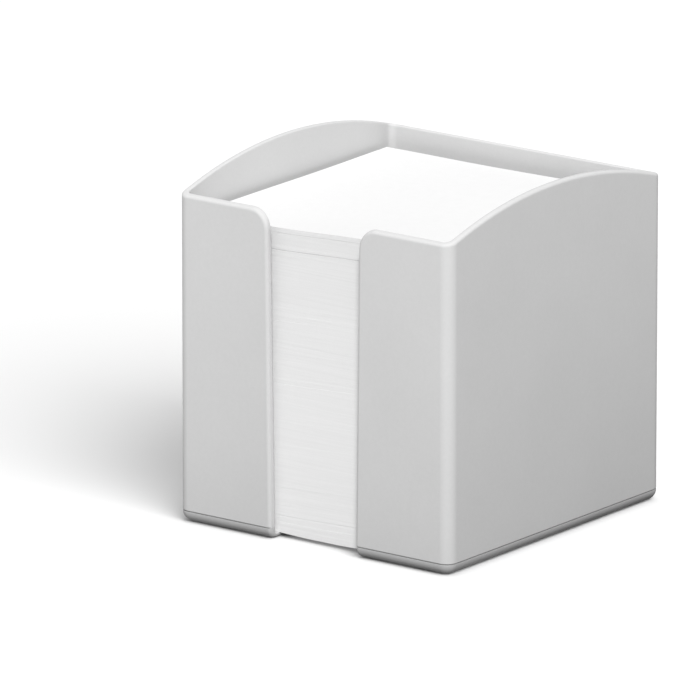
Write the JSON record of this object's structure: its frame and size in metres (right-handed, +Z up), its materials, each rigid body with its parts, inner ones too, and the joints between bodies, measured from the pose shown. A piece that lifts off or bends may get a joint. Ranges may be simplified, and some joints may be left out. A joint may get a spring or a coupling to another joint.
{
  "type": "memo box",
  "caption": "Open square desk box with arched side walls and a full-height finger slot in the front wall, filled with a stack of loose white note sheets that lift out.",
  "frame": {"origin": "middle of the box's outline, on the surface that it stands on", "axes": "+Z up, -Y towards the front wall with its finger slot, +X to the right seen from the front"},
  "size_m": [0.098, 0.1036, 0.1062],
  "materials": {
    "box_plastic": "light grey moulded plastic, satin",
    "note_paper": "white uncoated writing paper"
  },
  "bodies": {
    "box": {"box": "box_plastic"},
    "sheet_packet_01": {"sheet_packet_01": "note_paper"},
    "sheet_packet_02": {"sheet_packet_02": "note_paper"},
    "sheet_packet_03": {"sheet_packet_03": "note_paper"},
    "sheet_packet_04": {"sheet_packet_04": "note_paper"},
    "sheet_packet_05": {"sheet_packet_05": "note_paper"},
    "sheet_packet_06": {"sheet_packet_06": "note_paper"},
    "sheet_packet_07": {"sheet_packet_07": "note_paper"},
    "sheet_packet_08": {"sheet_packet_08": "note_paper"},
    "sheet_packet_09": {"sheet_packet_09": "note_paper"},
    "sheet_packet_10": {"sheet_packet_10": "note_paper"},
    "sheet_packet_11": {"sheet_packet_11": "note_paper"},
    "top_sheet": {"top_sheet": "note_paper"}
  },
  "joints": [
    {"name": "sheet_packet_01_lift", "type": "slide", "parent": "box", "child": "sheet_packet_01", "axis": [0, 0, 1], "range_m": [0, 0.1095]},
    {"name": "sheet_packet_02_lift", "type": "slide", "parent": "sheet_packet_01", "child": "sheet_packet_02", "axis": [0, 0, 1], "range_m": [0, 0.1045]},
    {"name": "sheet_packet_03_lift", "type": "slide", "parent": "sheet_packet_02", "child": "sheet_packet_03", "axis": [0, 0, 1], "range_m": [0, 0.096]},
    {"name": "sheet_packet_04_lift", "type": "slide", "parent": "sheet_packet_03", "child": "sheet_packet_04", "axis": [0, 0, 1], "range_m": [0, 0.083]},
    {"name": "sheet_packet_05_lift", "type": "slide", "parent": "sheet_packet_04", "child": "sheet_packet_05", "axis": [0, 0, 1], "range_m": [0, 0.072]},
    {"name": "sheet_packet_06_lift", "type": "slide", "parent": "sheet_packet_05", "child": "sheet_packet_06", "axis": [0, 0, 1], "range_m": [0, 0.065]},
    {"name": "sheet_packet_07_lift", "type": "slide", "parent": "sheet_packet_06", "child": "sheet_packet_07", "axis": [0, 0, 1], "range_m": [0, 0.0535]},
    {"name": "sheet_packet_08_lift", "type": "slide", "parent": "sheet_packet_07", "child": "sheet_packet_08", "axis": [0, 0, 1], "range_m": [0, 0.046]},
    {"name": "sheet_packet_09_lift", "type": "slide", "parent": "sheet_packet_08", "child": "sheet_packet_09", "axis": [0, 0, 1], "range_m": [0, 0.038]},
    {"name": "sheet_packet_10_lift", "type": "slide", "parent": "sheet_packet_09", "child": "sheet_packet_10", "axis": [0, 0, 1], "range_m": [0, 0.0255]},
    {"name": "sheet_packet_11_lift", "type": "slide", "parent": "sheet_packet_10", "child": "sheet_packet_11", "axis": [0, 0, 1], "range_m": [0, 0.02]},
    {"name": "top_sheet_lift", "type": "slide", "parent": "sheet_packet_11", "child": "top_sheet", "axis": [0, 0, 1], "range_m": [0, 0.019]}
  ]
}
